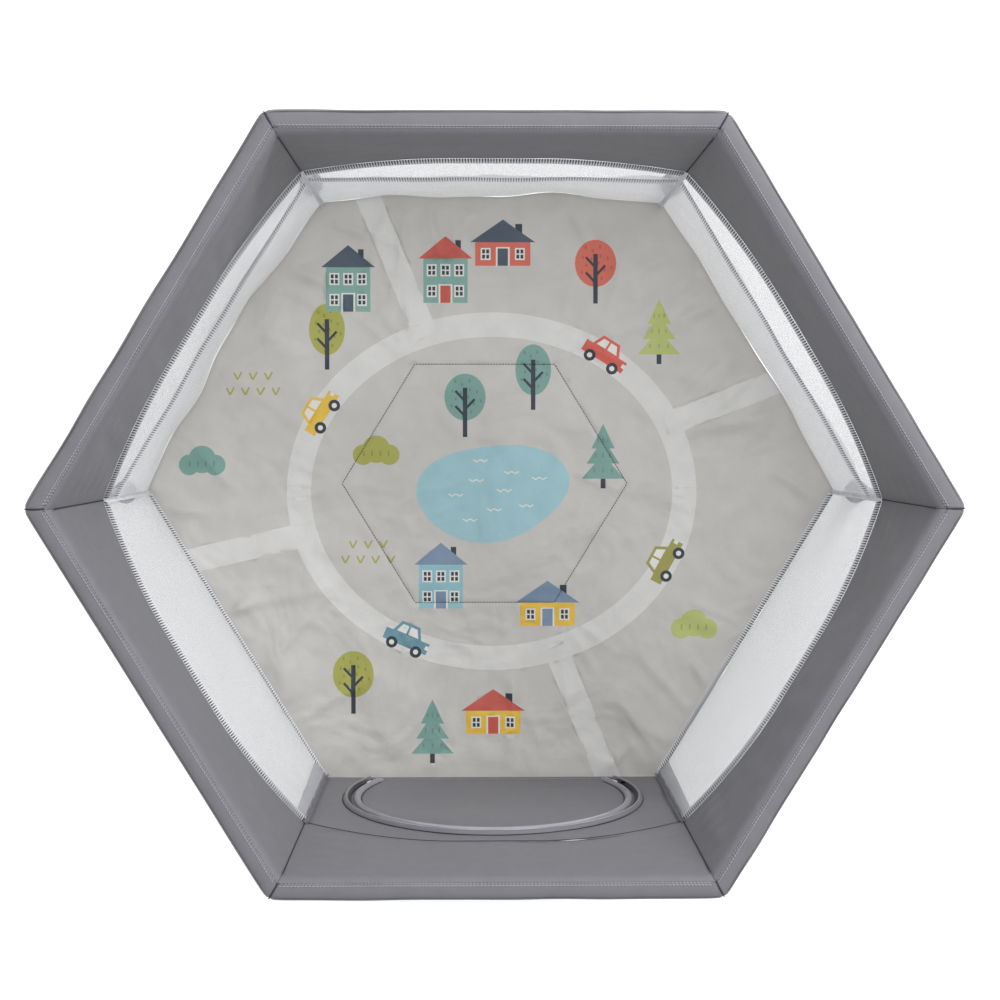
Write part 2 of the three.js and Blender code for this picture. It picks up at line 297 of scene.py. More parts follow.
GREY = linear(133, 132, 138)
LOOKS = {
    "cover": cloth_look("cover_cloth", shade(GREY, 0.83), spread=0.05),
    "band": cloth_look("band_cloth", shade(GREY, 0.90), spread=0.05),
    "front": cloth_look("front_cloth", shade(GREY, 0.87), spread=0.04, crinkle=0.22),
    "binding": cloth_look("binding_cloth", linear(152, 152, 159), weave=0.0012, crinkle=0.2),
    # Pale grey for the painted highlight on the flap binding's crest.
    "pale": cloth_look("painted_highlight_cloth", linear(176, 176, 184), weave=0.0012, crinkle=0.3),
    "piping": cloth_look("piping_cloth", linear(96, 96, 99), weave=0.0007, crinkle=0.1),
    "seam": cloth_look("corner_seam_cloth", linear(240, 241, 245), weave=0.0007, crinkle=0.2),
    "mesh": mesh_look("knitted_mesh", linear(203, 204, 207), 0.0019, 0.20),
    "gather": mesh_look("gathered_mesh", linear(178, 179, 184), 0.0011, 0.34),
    "skirt": mesh_look("dense_mesh", linear(252, 253, 255), 0.0011, 0.34),
    "print": printed_look("printed_cloth"),
    "under": cloth_look("underside_cloth", linear(112, 112, 118), weave=0.0014),
    "tape": cloth_look("zip_tape_cloth", linear(104, 104, 109), weave=0.0011, crinkle=0.1),
    # Dark thread for the stitches, also used as painted shadow along the mitred corners.
    "dark_thread": hard_look("dark_thread", linear(44, 44, 48), 0.7, grain=2500.0),
    "mid_thread": hard_look("grey_thread", linear(120, 121, 126), 0.7, grain=2500.0),
    "light_thread": hard_look("light_thread", linear(196, 196, 200), 0.65, grain=2500.0),
    "steel": hard_look("coated_steel", linear(168, 171, 178), 0.34, metal=0.3, bump=0.03),
    "plastic": hard_look("moulded_plastic", linear(134, 139, 148), 0.48),
    "rubber": hard_look("foot_rubber", linear(70, 70, 74), 0.85, grain=500.0, bump=0.2),
    "grip": hard_look("grip_dots", linear(58, 58, 62), 0.8, grain=160.0, bump=0.8),
    "metal": hard_look("dark_zinc", linear(52, 52, 57), 0.32, metal=0.85, bump=0.05),
}


# ---- Pieces ----
def make(name, points, faces, look, slot, body="pen", uv=None, smooth=True):
    """A piece from points and faces, riding on a body; uv gives each point's place on its cloth."""
    mesh = bpy.data.meshes.new(name)
    mesh.from_pydata([tuple(map(float, p)) for p in points], [], [tuple(map(int, f)) for f in faces])
    mesh.materials.append(LOOKS[look])
    if uv is not None:
        layer = mesh.uv_layers.new(name="UVMap")
        index = np.empty(len(mesh.loops), np.int32)
        mesh.loops.foreach_get("vertex_index", index)
        layer.data.foreach_set("uv", np.asarray(uv, np.float32)[index].ravel())
    mesh.polygons.foreach_set("use_smooth", [smooth] * len(mesh.polygons))
    piece = bpy.data.objects.new(name, mesh)
    bpy.context.scene.collection.objects.link(piece)
    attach(piece, body)
    return piece


def grid_faces(rows, columns, closed=False):
    """The quads of a grid of points, row by row; a closed grid joins its last row to its first."""
    faces = []
    for r in range(rows if closed else rows - 1):
        a, b = r * columns, ((r + 1) % rows) * columns
        faces += [(a + c, a + c + 1, b + c + 1, b + c) for c in range(columns - 1)]
    return faces


def tube(path, radius, sides=6, closed=False):
    """Points and faces of a round thread along a path, with its ends capped."""
    path = np.asarray(path, float)
    ahead = np.gradient(path, axis=0)
    if closed:
        ahead = np.roll(path, -1, axis=0) - np.roll(path, 1, axis=0)
    ahead /= np.linalg.norm(ahead, axis=1, keepdims=True) + 1e-12
    guide = np.where(np.abs(ahead[:, 2:3]) > 0.9, [[1.0, 0, 0]], [[0, 0, 1.0]])
    across = np.cross(ahead, guide)
    across /= np.linalg.norm(across, axis=1, keepdims=True)
    up = np.cross(across, ahead)
    turn = np.arange(sides) * 2 * math.pi / sides
    ring = np.cos(turn)[None, :, None] * across[:, None] + np.sin(turn)[None, :, None] * up[:, None]
    points = (path[:, None] + radius * ring).reshape(-1, 3)
    faces = []
    n = len(path)
    for r in range(n if closed else n - 1):
        a, b = r * sides, ((r + 1) % n) * sides
        faces += [(a + k, a + (k + 1) % sides, b + (k + 1) % sides, b + k) for k in range(sides)]
    if not closed:
        faces.append(tuple(range(sides - 1, -1, -1)))
        faces.append(tuple(range((n - 1) * sides, n * sides)))
    return points, faces


def joined(parts):
    """Several lots of points and faces as one."""
    points, faces, start = [], [], 0
    for lot, lot_faces in parts:
        points.append(np.asarray(lot))
        faces += [tuple(i + start for i in face) for face in lot_faces]
        start += len(lot)
    return np.concatenate(points), faces


def turned(profile, sides=48):
    """Points and faces of a turned piece from (radius, height) pairs that start and end on its axis."""
    inner = profile[1:-1]
    turn = np.arange(sides) * 2 * math.pi / sides
    points = [(0, 0, profile[0][1])]
    for radius, height in inner:
        points += [(radius * math.cos(t), radius * math.sin(t), height) for t in turn]
    points.append((0, 0, profile[-1][1]))
    last = len(points) - 1
    faces = []
    for k in range(sides):
        after = (k + 1) % sides
        faces.append((0, 1 + after, 1 + k))
        for row in range(len(inner) - 1):
            a, b = 1 + row * sides, 1 + (row + 1) * sides
            faces.append((a + k, a + after, b + after, b + k))
        end = 1 + (len(inner) - 1) * sides
        faces.append((end + k, end + after, last))
    return np.array(points, float), faces


def eased(profile, radius=0.0008, steps=3):
    """A profile with its corners rounded off."""
    made = [profile[0]]
    for before, here, after in zip(profile, profile[1:], profile[2:]):
        p, q, r = (Vector(v) for v in (before, here, after))
        cut = min(radius, (p - q).length / 2.1, (r - q).length / 2.1)
        a, b = q + (p - q).normalized() * cut, q + (r - q).normalized() * cut
        for k in range(steps + 1):
            t = k / steps
            made.append(tuple((1 - t) ** 2 * a + 2 * t * (1 - t) * q + t * t * b))
    return made + [profile[-1]]


# ---- Rails: padded covers, piping and hanging bands ----
PUCKER = 0.0056  # spacing of the small gathers along the top seam


def gathers(x, seed):
    return np.sin(2 * math.pi * x / PUCKER + 1.4 * ripple(x, 0 * x, 0.05, seed))


def padded_cover(side, seed):
    """The padded sleeve of one rail, closed at its mitred ends."""
    share = np.sin(np.linspace(-1, 1, 431) * math.pi / 2 * 0.96) / math.sin(math.pi / 2 * 0.96)
    angle = np.linspace(-math.pi, math.pi, 64, endpoint=False)
    angle, share = np.meshgrid(angle, share, indexing="ij")
    x = share * side.half
    off_seam = (angle - SEAM_ANGLE) * COVER
    radius = COVER - 0.0010 * np.exp(-(((angle + 0.1) / 0.4) ** 2))
    radius -= 0.0006 * np.exp(-((off_seam / 0.0013) ** 2))
    radius += 0.0007 * np.exp(-(((off_seam + 0.0034) / 0.0024) ** 2))
    radius += 0.00055 * gathers(x, seed) * np.exp(-(((off_seam + 0.003) / 0.0040) ** 2))
    radius += 0.00055 * ripple(x, angle * COVER, 0.07, seed + 1)
    radius -= 0.0009 * np.exp(-((((angle - PIPING_ANGLE) * COVER) / 0.0012) ** 2))
    from_end = (1 - np.abs(share)) * side.half
    radius -= 0.0016 * np.exp(-from_end / 0.0018)
    outward = np.clip(-np.sin(angle), 0, 1)
    y = radius * np.sin(angle) + 0.004 * outward * np.exp(-from_end / 0.006)
    z = RAIL_Z + radius * np.cos(angle)
    points = side.at(share, y, z).reshape(-1, 3)
    columns = share.shape[1]
    rows = share.shape[0]
    faces = grid_faces(rows, columns, closed=True)
    ends = side.at(np.array([-1.0, 1.0]), np.zeros(2), np.full(2, RAIL_Z))
    count = len(points)
    for r in range(rows):
        after = ((r + 1) % rows) * columns
        faces.append((count, r * columns, after))
        faces.append((count + 1, after + columns - 1, r * columns + columns - 1))
    uv = np.stack([x.ravel(), (angle * COVER).ravel()], axis=-1)
    uv = np.concatenate([uv, [[-side.half, 0], [side.half, 0]]])
    piece = make(
        f"padded_cover_{side.name}", np.concatenate([points, ends]), faces, "cover", "grey_fabric", uv=uv
    )
    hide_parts(f"rail_cover_{side.name}", f"rail_foam_{side.name}")


def topstitch(side, seed):
    """Two lines of short light stitches that hold the padded cover along its seam."""
    parts = []
    stitch, gap = 0.0040, 0.0016
    for off, lift in ((-0.0010, 0.0004), (-0.0046, 0.0009)):
        angle = SEAM_ANGLE + off / COVER
        for k in range(int(2 * side.half * 0.985 / (stitch + gap))):
            x = -side.half * 0.985 + k * (stitch + gap) + np.linspace(0, stitch, 4)
            share = x / side.half
            reach = COVER + lift + 0.0005 * gathers(x, seed) * (1 if off < -0.002 else 0.5)
            y, z = reach * math.sin(angle), RAIL_Z + reach * math.cos(angle)
            parts.append(tube(side.at(share, y, z), 0.00042, 4))
    make(f"topstitch_{side.name}", *joined(parts), "light_thread", "grey_fabric")


def mitre(index):
    """The seam round a corner, where two padded covers meet, and on down between the bands, drawn as a dark
    line of painted shadow for the shade in its valley.
    """
    side = SIDES[index]
    # Both dark tubes are painted shadow: the shade that falls in the mitred seam's valley, round the rail
    # and down between the bands.
    turn = np.linspace(math.pi / 2, -math.pi * 1.5, 60)[:-1]
    reach = COVER - 0.0009
    outward = np.clip(-np.sin(turn), 0, 1)
    ring = side.at(
        np.full_like(turn, -1.0), reach * np.sin(turn) + 0.0025 * outward, RAIL_Z + reach * np.cos(turn)
    )
    points, faces = tube(ring, 0.0011, 8, closed=True)
    z = np.linspace(RAIL_Z + 0.004, BAND_CORNER - 0.002, 70)
    y = side.wall(-1.0, z) + 0.0024
    lot = joined([(points, faces), tube(side.at(np.full_like(z, -1.0), y, z), 0.0008, 6)])
    make(f"corner_stitching_{CORNER_NAMES[index]}", *lot, "dark_thread", "grey_fabric")


def piping(side):
    share = np.linspace(-1, 1, 90)
    near_end = np.exp(-(1 - np.abs(share)) * side.half / 0.007)
    reach = COVER - 0.0002
    y = reach * math.sin(PIPING_ANGLE) + 0.005 * near_end
    z = RAIL_Z + reach * math.cos(PIPING_ANGLE) - 0.001 * near_end
    make(f"piping_{side.name}", *tube(side.at(share * 0.999, y, z), 0.0012, 8), "piping", "grey_fabric")


def band(side, seed):
    """The hanging band, from the seam over the rail's inner side down to its arched edge."""
    share = np.linspace(-1, 1, 341)
    down = np.linspace(0, 1, 62)
    arc = np.linspace(SEAM_ANGLE, math.pi / 2, 9)[:-1]
    round_y = np.outer(np.sin(arc), np.ones_like(share)) * (COVER + 0.0009)
    round_z = RAIL_Z + np.outer(np.cos(arc), np.ones_like(share)) * (COVER + 0.0009)
    edge = band_edge(share)
    flat_z = RAIL_Z + np.outer(down, edge - RAIL_Z)
    wide = np.broadcast_to(share, flat_z.shape)
    x = wide * side.half
    flat_y = side.wall(wide, flat_z) + 0.0004
    hang = np.clip((RAIL_Z - flat_z) / 0.06, 0, 1)
    folds = 0.0016 * ripple(x, flat_z, 0.12, seed) + 0.0007 * ripple(x, 0.4 * flat_z, 0.035, seed + 1)
    tension = np.exp(-(1 - np.abs(wide)) * side.half / 0.05)
    pull = 0.0016 * np.sin((flat_z * 120 + np.abs(x) * 60)) * tension
    near_edge = np.clip((flat_z - edge) / 0.06, 0.12, 1)
    flat_y = flat_y + hang * ((folds * 1.4 + pull) * side.fade(wide) * near_edge + 0.0008)
    flat_y = np.where(np.outer(down, np.ones_like(share)) > 0.985, flat_y - 0.0004, flat_y)
    y = np.concatenate([round_y, flat_y])
    z = np.concatenate([round_z, flat_z])
    wide = np.broadcast_to(share, y.shape)
    x = wide * side.half
    below = np.concatenate([arc - SEAM_ANGLE, np.full(len(down), 1.0)])[:, None] * COVER
    y = y + 0.0005 * gathers(x, seed + 5) * np.exp(-below / 0.005)
    points = side.at(wide, y, z).reshape(-1, 3)
    drop = np.concatenate([(arc * COVER)[:, None] + 0 * share, COVER * 1.57 + RAIL_Z - flat_z])
    uv = np.stack([x.ravel(), -drop.ravel()], axis=-1)
    piece = make(
        f"hanging_band_{side.name}", points, grid_faces(len(y), len(share)), "band", "grey_fabric", uv=uv
    )
    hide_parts(f"band_{side.name}")


def overlock(side, name, height, reach, pitch, wide, look, slot):
    """The raw edge of a seam that stands inwards, with a tapering stitch over it every so often."""
    parts = []
    for x in np.arange(-side.half * 0.985, side.half * 0.985, pitch):
        share = (x + np.array([0.5, -0.5, -0.5, 0.5, 0.14, -0.14, -0.14, 0.14]) * wide) / side.half
        top = np.array([1, 1, 0, 0, 1, 1, 0, 0])
        z = height(share) - 0.0008 - 0.0011 * (1 - top)
        y = side.wall(share, z) + 0.0014 + np.array([0, 0, 0, 0, 1, 1, 1, 1]) * reach
        z = z - np.array([0, 0, 0, 0, 1, 1, 1, 1]) * 0.0012
        faces = [(0, 1, 2, 3), (4, 7, 6, 5), (0, 4, 5, 1), (1, 5, 6, 2), (2, 6, 7, 3), (3, 7, 4, 0)]
        parts.append((side.at(share, y, z), faces))
    make(f"{name}_{side.name}", *joined(parts), look, slot, smooth=False)
    # The pale edge itself, just under the stitches.
    share = np.linspace(-0.992, 0.992, 240)
    rows = []
    for step in (0.0, 0.35, 0.7, 1.04):
        spot_y = side.wall(share, height(share)) + 0.0010 + step * (reach + 0.0005)
        rows.append(side.at(share, spot_y, height(share) - 0.0024 - 0.0014 * step))
    uv = np.stack([np.tile(share * side.half, 4), np.repeat(np.arange(4) * reach * 0.35, 240)], axis=-1)
    edge = make(f"{name}_selvedge_{side.name}", np.concatenate(rows), grid_faces(4, 240), "seam",
                "mesh_fabric", uv=uv)


def zigzag(side, name, height, reach, pitch, radius, look, slot, out=0.0016):
    """An overlocked edge that stands inwards: one thread that runs to and fro across its width."""
    count = int(2 * side.half / pitch)
    share = np.linspace(-0.995, 0.995, 2 * count + 1)
    edge = height(share)
    swing = np.where(np.arange(len(share)) % 2, 1.0, 0.0)
    z = edge - 0.0012 - 0.0016 * swing
    y = side.wall(share, z) + out + reach * swing
    points, faces = tube(side.at(share, y, z), radius, 4)
    return make(f"{name}_{side.name}", points, faces, look, slot)


# ---- Walls ----
def mesh_wall(side, seed):
    """A see-through wall between the floor's edge and the band."""
    share = np.linspace(-1, 1, 150)
    up = np.linspace(0, 1, 84)
    foot = FLOOR_TOP + 0.001
    has_skirt = side.name.startswith("back")
    z = foot + np.outer(up, band_edge(share) + 0.004 - foot)
    wide = np.broadcast_to(share, z.shape)
    x = wide * side.half
    loose = np.clip(z / 0.03, 0, 1) * np.clip((band_edge(share) - z) / 0.04, 0, 1)
    folds = 0.0035 * ripple(x, z, 0.16, seed) + 0.0012 * ripple(x, 0.3 * z, 0.05, seed + 1)
    corner = np.exp(-(1 - np.abs(wide)) * side.half / 0.07)
    pull = 0.0022 * np.sin(z * 70 + np.abs(x) * 45) * corner
    y = side.wall(wide, z) + loose * (folds + pull) * side.fade(wide)
    points = side.at(wide, y, z).reshape(-1, 3)
    uv = np.stack([x.ravel(), z.ravel()], axis=-1)
    faces = grid_faces(len(up), len(share))
    piece = make(f"see_through_wall_{side.name}", points, faces, "mesh", "mesh_fabric", uv=uv)
    if has_skirt:
        piece.data.materials.append(LOOKS["skirt"])
        for face in piece.data.polygons:
            if face.center.z < SKIRT:
                face.material_index = 1
    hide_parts(f"mesh_wall_{side.name}")
    if has_skirt:
        overlock(side, "skirt_stitch", lambda s: SKIRT + 0.005 * np.sin(s * 9), 0.0065, 0.0048, 0.0024,
                 "mid_thread", "mesh_fabric")
        zigzag(side, "foot_stitch", lambda s: FLOOR_TOP + 0.005 + 0 * s, 0.003, 0.004, 0.0003,
               "light_thread", "mesh_fabric", out=0.0010)
    else:
        reach = 0.0088 if side.name == "front_right" else 0.0056
        overlock(side, "foot_stitch", lambda s: FLOOR_TOP + 0.007 + 0 * s, reach, 0.0054, 0.0028,
                 "dark_thread", "mesh_fabric")


def inside(points, outline):
    """Which points lie inside an outline."""
    x, y = points[:, 0], points[:, 1]
    odd = np.zeros(len(points), bool)
    x0, y0 = outline[-1]
    for x1, y1 in outline:
        if y0 != y1:
            crossed = (y0 > y) != (y1 > y)
            odd ^= crossed & (x < (x1 - x0) * (y - y0) / (y1 - y0) + x0)
        x0, y0 = x1, y1
    return odd


def closed_loops(outlines, start):
    """Every outline's points, and the edges that close each of them."""
    points, edges = [], []
    for outline in outlines:
        first = start + len(points)
        points += [tuple(map(float, p)) for p in outline]
        count = len(outline)
        edges += [(first + k, first + (k + 1) % count) for k in range(count)]
    return points, edges


def triangulated(outline, cuts, step):
    """Triangles that fill an outline, with the cuts as edges and a grid of points between."""
    outline = np.asarray(outline, float)
    low, high = outline.min(axis=0), outline.max(axis=0)
    rows = []
    for row, y in enumerate(np.arange(low[1] + step, high[1], step * 0.866)):
        x = np.arange(low[0] + step * (0.5 + 0.5 * (row % 2)), high[0], step)
        rows.append(np.stack([x, np.full_like(x, y)], axis=-1))
    grid = np.concatenate(rows)
    grid = grid[inside(grid, outline)]
    points = [tuple(p) for p in grid]
    more, edges = closed_loops([outline, *cuts], len(points))
    made = delaunay_2d_cdt([Vector(p) for p in points + more], edges, [], 0, step * 1e-4)
    verts = np.array([tuple(v) for v in made[0]])
    faces = np.array([tuple(f) for f in made[2]])
    faces = faces[inside(verts[faces].mean(axis=1), outline)]
    # Cuts that reach past the outline leave points with no face, which are dropped.
    used, faces = np.unique(faces, return_inverse=True)
    return verts[used], faces.reshape(-1, 3)


def around_door(radius, turn):
    """Points (x, z) on a circle round the doorway's centre."""
    return np.stack([radius * np.cos(turn), DOOR_Z + radius * np.sin(turn)], axis=-1)


def arc(radius, low, high, step):
    """Points round the doorway's centre, from one angle to another."""
    count = max(3, int(abs(high - low) * radius / step))
    return around_door(radius, np.linspace(low, high, count))


def on_front(flat, out):
    """Puts points (x, z) of the front wall's plane into place, some way out towards the inside."""
    x, z = flat[:, 0], flat[:, 1]
    share = x / FRONT.half
    y = FRONT.wall(share, z) + out
    flat_x = FRONT.middle[0] + x
    return np.stack([flat_x, FRONT.middle[1] + y, z], axis=-1)


def door_outline(radius, sill, step=0.004):
    low = math.asin((sill - DOOR_Z) / radius)
    rim = arc(radius, low, math.pi - low, step)
    bottom = np.linspace(rim[-1], rim[0], 90)[1:-1]
    return np.concatenate([rim, bottom])


def front_wall():
    step = 0.007
    half = np.linspace(-0.988, 0.988, 180)
    top = np.stack([half * FRONT.half, band_edge(half) + 0.004], axis=-1)
    foot = FLOOR_TOP + 0.001
    in_by = (WALL_LEAN + WALL_OUT) / FRONT.tan_end
    bottom = FRONT.half - in_by
    right = np.linspace((bottom, foot), top[-1], 60)[1:-1]
    left = np.linspace(top[0], (-bottom, foot), 60)[1:-1]
    base = np.linspace((-bottom, foot), (bottom, foot), 150)
    outline = np.concatenate([base, right, top[::-1], left])
    doorway = door_outline(DOOR_RADIUS, DOOR_SILL)
    verts, faces = triangulated(outline, [doorway], step)
    faces = faces[~inside(verts[faces].mean(axis=1), doorway)]
    x, z = verts[:, 0], verts[:, 1]
    from_door = np.hypot(x, z - DOOR_Z) - DOOR_RADIUS
    free = np.clip(from_door / 0.05, 0, 1) * np.clip(z / 0.05, 0, 1)
    folds = 0.0022 * ripple(x, z, 0.13, 71) + 0.0008 * ripple(x, 0.4 * z, 0.045, 72)
    points = on_front(verts, free * folds)
    piece = make("solid_front_wall", points, faces, "front", "grey_fabric", uv=verts)
    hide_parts("front_wall")


def door_flap():
    outline = door_outline(FLAP_RADIUS - 0.008, FLAP_SILL)
    verts, faces = triangulated(outline, [], 0.007)
    x, z = verts[:, 0], verts[:, 1]
    from_rim = (FLAP_RADIUS - 0.008 - np.hypot(x, z - DOOR_Z)).clip(0)
    free = np.clip(from_rim / 0.05, 0, 1) * np.clip((z - FLAP_SILL) / 0.05, 0, 1)
    folds = 0.0030 * ripple(x, z, 0.17, 81) + 0.0010 * ripple(x, 0.5 * z, 0.06, 82) - 0.004
    points = on_front(verts, free * folds)
    piece = make("door_panel", points, faces, "front", "grey_fabric", body="door", uv=verts)
    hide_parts("door_flap")


def ring_strip(name, section, low, high, look, slot, body="pen", swell=None, step=0.003):
    """A strip round the doorway: section is a list of (radius, out) across it."""
    count = int((high - low) * DOOR_RADIUS / step)
    turn = np.linspace(low, high, count)
    rows, maps = [], []
    along = 0.0
    for k, (radius, out) in enumerate(section):
        if k:
            along += math.hypot(radius - section[k - 1][0], out - section[k - 1][1])
        lift = out * (swell(turn) if swell else 1)
        rows.append(on_front(around_door(radius, turn), lift + 0 * turn))
        maps.append(np.stack([turn * DOOR_RADIUS, np.full_like(turn, along)], axis=-1))
    points, uv = np.concatenate(rows), np.concatenate(maps)
    return make(name, points, grid_faces(len(section), count), look, slot, body=body, uv=uv)


def zip_parts():
    low = -ZIP_END - 0.05
    high = math.pi - low
    tape = "zip_fabric"
    strip = ring_strip(
        "wall_zip_tape", [(0.2592, 0.0002), (0.2625, 0.0004), (0.2700, 0.0004)], low, high, "tape", tape
    )
    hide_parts("zip_tape")
    flap_low = math.asin((FLAP_SILL - DOOR_Z) / FLAP_RADIUS) + 0.004
    other = ring_strip(
        "flap_zip_tape", [(0.2465, 0.0004), (0.2555, 0.0004), (0.2578, 0.0002)],
        flap_low, math.pi - flap_low, "tape", tape, body="door",
    )
    for body, radius, shift in (("pen", 0.2589, 0.0), ("door", 0.2580, 0.5)):
        pitch = 0.0030 / DOOR_RADIUS
        turns = np.arange(low + 0.02 + shift * pitch, high - 0.02, pitch)
        parts = []
        for turn in turns:
            out = np.array([-0.0011, 0.0011])
            across = np.array([radius - 0.0016, radius + 0.0016])
            sides = np.array([turn - 0.0007 / DOOR_RADIUS, turn + 0.0007 / DOOR_RADIUS])
            corners = [
                on_front(np.array([[r * math.cos(t), DOOR_Z + r * math.sin(t)]]), o)[0]
                for r in across for t in sides for o in out
            ]
            faces = [(0, 1, 3, 2), (4, 6, 7, 5), (0, 4, 5, 1), (2, 3, 7, 6), (0, 2, 6, 4), (1, 5, 7, 3)]
            parts.append((corners, faces))
        make(f"zip_teeth_{body}", *joined(parts), "metal", "zip_metal", body=body, smooth=False)
    # The fold of cloth that shades the zip stands furthest off the wall at the top of the arch.
    open_low = math.asin((DOOR_SILL - DOOR_Z) / DOOR_RADIUS) + 0.02
    over = ring_strip(
        "zip_cover_fold",
        [(0.2712, 0.0006), (0.2708, 0.0026), (0.2697, 0.0048), (0.2680, 0.0064), (0.2660, 0.0071),
         (0.2640, 0.0068), (0.2626, 0.0060), (0.2632, 0.0052)],
        open_low, math.pi - open_low, "front", "grey_fabric",
        swell=lambda t: 0.98 + 0.10 * np.clip(np.sin(t), 0, 1) ** 3 + 0.05 * np.sin(t * 17),
    )
    rim = ring_strip(
        "flap_binding",
        [(0.2400, -0.0022), (0.2392, 0.0004), (0.2396, 0.0030), (0.2416, 0.0052), (0.2446, 0.0062),
         (0.2480, 0.0058), (0.2506, 0.0042), (0.2518, 0.0014), (0.2512, -0.0010)],
        flap_low, math.pi - flap_low, "binding", "grey_fabric", body="door",
        swell=lambda t: 1 + 0.16 * np.sin(t * 13) * np.sin(t * 5 + 1),
    )
    turn = np.linspace(open_low + 0.02, math.pi - open_low - 0.02, 300)
    for name, radius, out, thick, look, body in (
        ("cover_stitching", 0.2719, 0.0008, 0.0007, "dark_thread", "pen"),
        ("inner_stitching", 0.2376, 0.0, 0.0007, "dark_thread", "door"),
        ("fold_topstitch", 0.2655, 0.0076, 0.0005, "light_thread", "pen"),
        ("binding_topstitch", 0.2452, 0.0064, 0.0005, "light_thread", "door"),
    ):
        thread = tube(on_front(around_door(radius, turn), out), thick, 6)
        make(name, *thread, look, "grey_fabric", body=body)
    # Painted highlight: a pale strip along the crest of the flap's binding round the top of the arch, widest
    # at the middle, where the binding faces up to the light.
    turn = np.linspace(math.radians(36), math.radians(128), 150)
    wide = 0.0062 * np.sin(math.pi * (turn - turn[0]) / (turn[-1] - turn[0])).clip(0.02, 1) ** 0.5
    rows = []
    for share, out in ((-1, 0.0056), (-0.5, 0.0070), (0, 0.0076), (0.5, 0.0068), (1, 0.0046)):
        radius = 0.2462 + share * wide
        rows.append(on_front(around_door(radius, turn), out + 0 * turn))
    uv = np.stack([np.tile(turn * 0.25, 5), np.repeat(np.arange(5) * 0.003, len(turn))], axis=-1)
    pull = make("flap_painted_highlight", np.concatenate(rows), grid_faces(5, len(turn)), "pale", "grey_fabric",
                body="door", uv=uv)
    half = math.sqrt(DOOR_RADIUS**2 - (DOOR_Z - DOOR_SILL) ** 2) + 0.004
    spots = np.stack([np.linspace(-half, half, 60), np.full(60, (DOOR_SILL + FLAP_SILL) / 2)], axis=-1)
    make("sill_piping", *tube(on_front(spots, 0.0), 0.0024, 10), "front", "grey_fabric")


def front_seam():
    """The thin dark stitched line where the front band meets the solid wall."""
    share = np.linspace(-0.985, 0.985, 260)
    z = band_edge(share) + 0.0012
    y = FRONT.wall(share, z) + 0.0030
    make("front_seam_thread", *tube(FRONT.at(share, y, z), 0.0006, 6), "dark_thread", "grey_fabric")


# ---- Frame pieces ----
def hardware():
    foot = eased([
        (0, 0.0033), (0.0200, 0.0033), (0.0219, 0.0060), (0.0212, 0.0110), (0.0185, 0.0165),
        (0.0170, 0.0230), (0.0155, 0.0300), (0.0150, 0.0610), (0.0140, 0.0622), (0.0108, 0.0622),
        (0.0108, 0.0600), (0, 0.0600),
    ], 0.0012)
    pad = eased([(0, 0), (0.0178, 0), (0.0195, 0.0012), (0.0195, 0.0031), (0, 0.0031)], 0.0006)
    post = eased([(0, 0.0100), (0.0110, 0.0100), (0.0110, 0.6450), (0, 0.6450)], 0.0004)
    hub = eased([
        (0, -0.0618), (0.0132, -0.0618), (0.0145, -0.0605), (0.0145, -0.0560), (0.0140, -0.0550),
        (0.0140, -0.0300), (0.0145, -0.0290), (0.0145, -0.0160), (0.0138, 0.0060), (0.0090, 0.0128),
        (0, 0.0128),
    ], 0.0008)
    for index, name in enumerate(CORNER_NAMES):
        here = CORNERS[index]
        place = np.array([here.x, here.y, 0.0])
        for kind, profile, look, slot in (
            ("foot", foot, "plastic", "corner_plastic"), ("foot_pad", pad, "rubber", "foot_rubber"),
            ("post", post, "steel", "frame_steel"),
        ):
            points, faces = turned(profile)
            piece = make(f"turned_{kind}_{name}", points + place, faces, look, slot)
            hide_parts(f"{kind}_{name}")
        parts = [turned(hub)]
        arm = eased([(0, 0.0), (0.0110, 0.0), (0.0110, 0.0240), (0.0094, 0.0242), (0.0094, 0.0650),
                     (0, 0.0650)], 0.0005)
        for other in (CORNERS[(index + 1) % 6], CORNERS[(index - 1) % 6]):
            ahead = (other - here).normalized()
            points, faces = turned(arm, 32)
            x, y, z = points.T
            parts.append((np.stack([z * ahead.x - x * ahead.y, z * ahead.y + x * ahead.x, y], -1), faces))
        points, faces = joined(parts)
        piece = make(
            f"moulded_corner_{name}", points + place + [0, 0, RAIL_Z], faces, "plastic", "corner_plastic"
        )
        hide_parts(f"corner_joint_{name}")


def corner_seams():
    """The narrow taped seam down each inside corner, from the band to the floor."""
    z = np.linspace(FLOOR_TOP + 0.002, BAND_CORNER + 0.01, 90)
    for index, name in enumerate(CORNER_NAMES):
        side = SIDES[index]
        rows = []
        for sway in (-0.0050, -0.0016, 0.0016, 0.0050):
            y = side.wall(-1.0, z) + 0.0016 + 0.0008 * np.sin(z * 90)
            spot = side.at(np.full_like(z, -1.0), y + abs(sway), z)
            spot[:, :2] += np.array(side.along)[None] * (sway if sway > 0 else 0)
            if sway < 0:
                back = SIDES[(index - 1) % 6].along
                spot[:, :2] += np.array(back)[None] * sway
            rows.append(spot)
        points = np.concatenate(rows)
        uv = np.stack([np.repeat(np.arange(4) * 0.0035, len(z)), np.tile(z, 4)], axis=-1)
        piece = make(
            f"corner_seam_{name}", points, grid_faces(4, len(z)),
            "front" if name.startswith("front") else "seam", "mesh_fabric", uv=uv
        )


